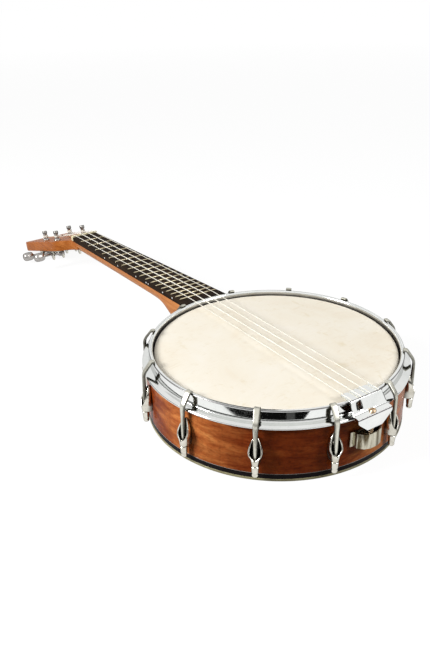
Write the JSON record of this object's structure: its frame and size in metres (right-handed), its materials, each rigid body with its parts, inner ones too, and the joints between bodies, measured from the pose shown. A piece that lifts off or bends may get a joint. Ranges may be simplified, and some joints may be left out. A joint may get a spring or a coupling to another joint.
{
  "type": "banjo ukulele",
  "caption": "Banjo ukulele with a skin head on a round wooden pot, tension hooks, a fretted neck and geared tuners.",
  "frame": {"origin": "middle of the bounding box's lower side", "axes": "+Z out of the head along the pot's axis, +X along the neck to the headstock, +Y to the bass side"},
  "size_m": [0.6072, 0.222, 0.0714],
  "materials": {
    "mahogany": "gloss lacquer over reddish ribbon-figured wood",
    "neckWood": "satin lacquer over reddish brown wood",
    "ebony": "oiled near-black wood with bright fret wire",
    "skin": "aged translucent calfskin",
    "bone": "polished cream",
    "chrome": "polished plating",
    "nickel": "worn nickel plating",
    "brass": "tarnished",
    "nylon": "clear white monofilament"
  },
  "bodies": {
    "pot_and_neck": {"rim": "mahogany", "head": "skin", "tension_hoop": "chrome", "dowel_stick": "neckWood", "tailpiece": "chrome", "tailpiece_bracket": "nickel", "neck": "neckWood", "fingerboard": "ebony", "nut": "bone", "tuner_plate_bass": "nickel", "tuner_plate_treble": "nickel", "string_4_g": "nylon", "string_3_c": "nylon", "string_2_e": "nylon", "string_1_a": "nylon", "shoe_01": "nickel", "shoe_02": "nickel", "shoe_03": "nickel", "shoe_04": "nickel", "shoe_05": "nickel", "shoe_06": "nickel", "shoe_07": "nickel", "shoe_08": "nickel", "shoe_09": "nickel", "shoe_10": "nickel", "shoe_11": "nickel", "shoe_12": "nickel"},
    "hook_01": {"hook_01": "nickel"},
    "barrel_nut_01": {"barrel_nut_01": "nickel"},
    "hook_02": {"hook_02": "nickel"},
    "barrel_nut_02": {"barrel_nut_02": "nickel"},
    "hook_03": {"hook_03": "nickel"},
    "barrel_nut_03": {"barrel_nut_03": "nickel"},
    "hook_04": {"hook_04": "nickel"},
    "barrel_nut_04": {"barrel_nut_04": "nickel"},
    "hook_05": {"hook_05": "nickel"},
    "barrel_nut_05": {"barrel_nut_05": "nickel"},
    "hook_06": {"hook_06": "nickel"},
    "barrel_nut_06": {"barrel_nut_06": "nickel"},
    "hook_07": {"hook_07": "nickel"},
    "barrel_nut_07": {"barrel_nut_07": "nickel"},
    "hook_08": {"hook_08": "nickel"},
    "barrel_nut_08": {"barrel_nut_08": "nickel"},
    "hook_09": {"hook_09": "nickel"},
    "barrel_nut_09": {"barrel_nut_09": "nickel"},
    "hook_10": {"hook_10": "nickel"},
    "barrel_nut_10": {"barrel_nut_10": "nickel"},
    "hook_11": {"hook_11": "nickel"},
    "barrel_nut_11": {"barrel_nut_11": "nickel"},
    "hook_12": {"hook_12": "nickel"},
    "barrel_nut_12": {"barrel_nut_12": "nickel"},
    "tuner_button_bass_tip": {"tuner_button_bass_tip": "nickel"},
    "tuner_post_bass_tip": {"tuner_post_bass_tip": "nickel"},
    "tuner_button_bass_nut": {"tuner_button_bass_nut": "nickel"},
    "tuner_post_bass_nut": {"tuner_post_bass_nut": "nickel"},
    "tuner_button_treble_tip": {"tuner_button_treble_tip": "nickel"},
    "tuner_post_treble_tip": {"tuner_post_treble_tip": "nickel"},
    "tuner_button_treble_nut": {"tuner_button_treble_nut": "nickel"},
    "tuner_post_treble_nut": {"tuner_post_treble_nut": "nickel"},
    "tailpiece_screw": {"tailpiece_screw": "brass"}
  },
  "joints": [
    {"name": "barrel_nut_01_turn", "type": "hinge", "parent": "pot_and_neck", "child": "barrel_nut_01", "pos_m": [-0.08177, 0.02847, 0.02226], "axis": [0, 0, -1], "range_deg": [0, 1080.5]},
    {"name": "hook_01_lift", "type": "slide", "parent": "pot_and_neck", "child": "hook_01", "axis": [0, 0, 1], "range_m": [0, 0.0024]},
    {"name": "barrel_nut_02_turn", "type": "hinge", "parent": "pot_and_neck", "child": "barrel_nut_02", "pos_m": [-0.11024, 0.07778, 0.02226], "axis": [0, 0, -1], "range_deg": [0, 1080.5]},
    {"name": "hook_02_lift", "type": "slide", "parent": "pot_and_neck", "child": "hook_02", "axis": [0, 0, 1], "range_m": [0, 0.0024]},
    {"name": "barrel_nut_03_turn", "type": "hinge", "parent": "pot_and_neck", "child": "barrel_nut_03", "pos_m": [-0.15955, 0.10625, 0.02226], "axis": [0, 0, -1], "range_deg": [0, 1080.5]},
    {"name": "hook_03_lift", "type": "slide", "parent": "pot_and_neck", "child": "hook_03", "axis": [0, 0, 1], "range_m": [0, 0.0024]},
    {"name": "barrel_nut_04_turn", "type": "hinge", "parent": "pot_and_neck", "child": "barrel_nut_04", "pos_m": [-0.21649, 0.10625, 0.02226], "axis": [0, 0, -1], "range_deg": [0, 1080.5]},
    {"name": "hook_04_lift", "type": "slide", "parent": "pot_and_neck", "child": "hook_04", "axis": [0, 0, 1], "range_m": [0, 0.0024]},
    {"name": "barrel_nut_05_turn", "type": "hinge", "parent": "pot_and_neck", "child": "barrel_nut_05", "pos_m": [-0.2658, 0.07778, 0.02226], "axis": [0, 0, -1], "range_deg": [0, 1080.5]},
    {"name": "hook_05_lift", "type": "slide", "parent": "pot_and_neck", "child": "hook_05", "axis": [0, 0, 1], "range_m": [0, 0.0024]},
    {"name": "barrel_nut_06_turn", "type": "hinge", "parent": "pot_and_neck", "child": "barrel_nut_06", "pos_m": [-0.29427, 0.02847, 0.02226], "axis": [0, 0, -1], "range_deg": [0, 1080.5]},
    {"name": "hook_06_lift", "type": "slide", "parent": "pot_and_neck", "child": "hook_06", "axis": [0, 0, 1], "range_m": [0, 0.0024]},
    {"name": "barrel_nut_07_turn", "type": "hinge", "parent": "pot_and_neck", "child": "barrel_nut_07", "pos_m": [-0.29427, -0.02847, 0.02226], "axis": [0, 0, -1], "range_deg": [0, 1080.5]},
    {"name": "hook_07_lift", "type": "slide", "parent": "pot_and_neck", "child": "hook_07", "axis": [0, 0, 1], "range_m": [0, 0.0024]},
    {"name": "barrel_nut_08_turn", "type": "hinge", "parent": "pot_and_neck", "child": "barrel_nut_08", "pos_m": [-0.2658, -0.07778, 0.02226], "axis": [0, 0, -1], "range_deg": [0, 1080.5]},
    {"name": "hook_08_lift", "type": "slide", "parent": "pot_and_neck", "child": "hook_08", "axis": [0, 0, 1], "range_m": [0, 0.0024]},
    {"name": "barrel_nut_09_turn", "type": "hinge", "parent": "pot_and_neck", "child": "barrel_nut_09", "pos_m": [-0.21649, -0.10625, 0.02226], "axis": [0, 0, -1], "range_deg": [0, 1080.5]},
    {"name": "hook_09_lift", "type": "slide", "parent": "pot_and_neck", "child": "hook_09", "axis": [0, 0, 1], "range_m": [0, 0.0024]},
    {"name": "barrel_nut_10_turn", "type": "hinge", "parent": "pot_and_neck", "child": "barrel_nut_10", "pos_m": [-0.15955, -0.10625, 0.02226], "axis": [0, 0, -1], "range_deg": [0, 1080.5]},
    {"name": "hook_10_lift", "type": "slide", "parent": "pot_and_neck", "child": "hook_10", "axis": [0, 0, 1], "range_m": [0, 0.0024]},
    {"name": "barrel_nut_11_turn", "type": "hinge", "parent": "pot_and_neck", "child": "barrel_nut_11", "pos_m": [-0.11024, -0.07778, 0.02226], "axis": [0, 0, -1], "range_deg": [0, 1080.5]},
    {"name": "hook_11_lift", "type": "slide", "parent": "pot_and_neck", "child": "hook_11", "axis": [0, 0, 1], "range_m": [0, 0.0024]},
    {"name": "barrel_nut_12_turn", "type": "hinge", "parent": "pot_and_neck", "child": "barrel_nut_12", "pos_m": [-0.08177, -0.02847, 0.02226], "axis": [0, 0, -1], "range_deg": [0, 1080.5]},
    {"name": "hook_12_lift", "type": "slide", "parent": "pot_and_neck", "child": "hook_12", "axis": [0, 0, 1], "range_m": [0, 0.0024]},
    {"name": "tuner_button_bass_tip_turn", "type": "hinge", "parent": "pot_and_neck", "child": "tuner_button_bass_tip", "pos_m": [0.2614, 0.041, 0.00823], "axis": [0, 1, 0], "continuous": true},
    {"name": "tuner_post_bass_tip_turn", "type": "hinge", "parent": "pot_and_neck", "child": "tuner_post_bass_tip", "pos_m": [0.25789, 0.01639, 0.02564], "axis": [0.2833, 0, 0.959], "continuous": true},
    {"name": "tuner_button_bass_nut_turn", "type": "hinge", "parent": "pot_and_neck", "child": "tuner_button_bass_nut", "pos_m": [0.22135, 0.041, 0.02006], "axis": [0, 1, 0], "continuous": true},
    {"name": "tuner_post_bass_nut_turn", "type": "hinge", "parent": "pot_and_neck", "child": "tuner_post_bass_nut", "pos_m": [0.21784, 0.0174, 0.03747], "axis": [0.2833, 0, 0.959], "continuous": true},
    {"name": "tuner_button_treble_tip_turn", "type": "hinge", "parent": "pot_and_neck", "child": "tuner_button_treble_tip", "pos_m": [0.2614, -0.041, 0.00823], "axis": [0, -1, 0], "continuous": true},
    {"name": "tuner_post_treble_tip_turn", "type": "hinge", "parent": "pot_and_neck", "child": "tuner_post_treble_tip", "pos_m": [0.25789, -0.01639, 0.02564], "axis": [0.2833, 0, 0.959], "continuous": true},
    {"name": "tuner_button_treble_nut_turn", "type": "hinge", "parent": "pot_and_neck", "child": "tuner_button_treble_nut", "pos_m": [0.22135, -0.041, 0.02006], "axis": [0, -1, 0], "continuous": true},
    {"name": "tuner_post_treble_nut_turn", "type": "hinge", "parent": "pot_and_neck", "child": "tuner_post_treble_nut", "pos_m": [0.21784, -0.0174, 0.03747], "axis": [0.2833, 0, 0.959], "continuous": true},
    {"name": "tailpiece_screw_turn", "type": "hinge", "parent": "pot_and_neck", "child": "tailpiece_screw", "pos_m": [-0.29932, 0, 0.04566], "axis": [0, 0, 1], "continuous": true}
  ],
  "couplings": [
    {"joint": "barrel_nut_01_turn", "follows": "hook_01_lift", "rad_per_m": 7854},
    {"joint": "barrel_nut_02_turn", "follows": "hook_02_lift", "rad_per_m": 7854},
    {"joint": "barrel_nut_03_turn", "follows": "hook_03_lift", "rad_per_m": 7854},
    {"joint": "barrel_nut_04_turn", "follows": "hook_04_lift", "rad_per_m": 7854},
    {"joint": "barrel_nut_05_turn", "follows": "hook_05_lift", "rad_per_m": 7854},
    {"joint": "barrel_nut_06_turn", "follows": "hook_06_lift", "rad_per_m": 7854},
    {"joint": "barrel_nut_07_turn", "follows": "hook_07_lift", "rad_per_m": 7854},
    {"joint": "barrel_nut_08_turn", "follows": "hook_08_lift", "rad_per_m": 7854},
    {"joint": "barrel_nut_09_turn", "follows": "hook_09_lift", "rad_per_m": 7854},
    {"joint": "barrel_nut_10_turn", "follows": "hook_10_lift", "rad_per_m": 7854},
    {"joint": "barrel_nut_11_turn", "follows": "hook_11_lift", "rad_per_m": 7854},
    {"joint": "barrel_nut_12_turn", "follows": "hook_12_lift", "rad_per_m": 7854},
    {"joint": "tuner_post_bass_tip_turn", "follows": "tuner_button_bass_tip_turn", "ratio": -0.066667},
    {"joint": "tuner_post_bass_nut_turn", "follows": "tuner_button_bass_nut_turn", "ratio": -0.066667},
    {"joint": "tuner_post_treble_tip_turn", "follows": "tuner_button_treble_tip_turn", "ratio": 0.066667},
    {"joint": "tuner_post_treble_nut_turn", "follows": "tuner_button_treble_nut_turn", "ratio": 0.066667}
  ]
}
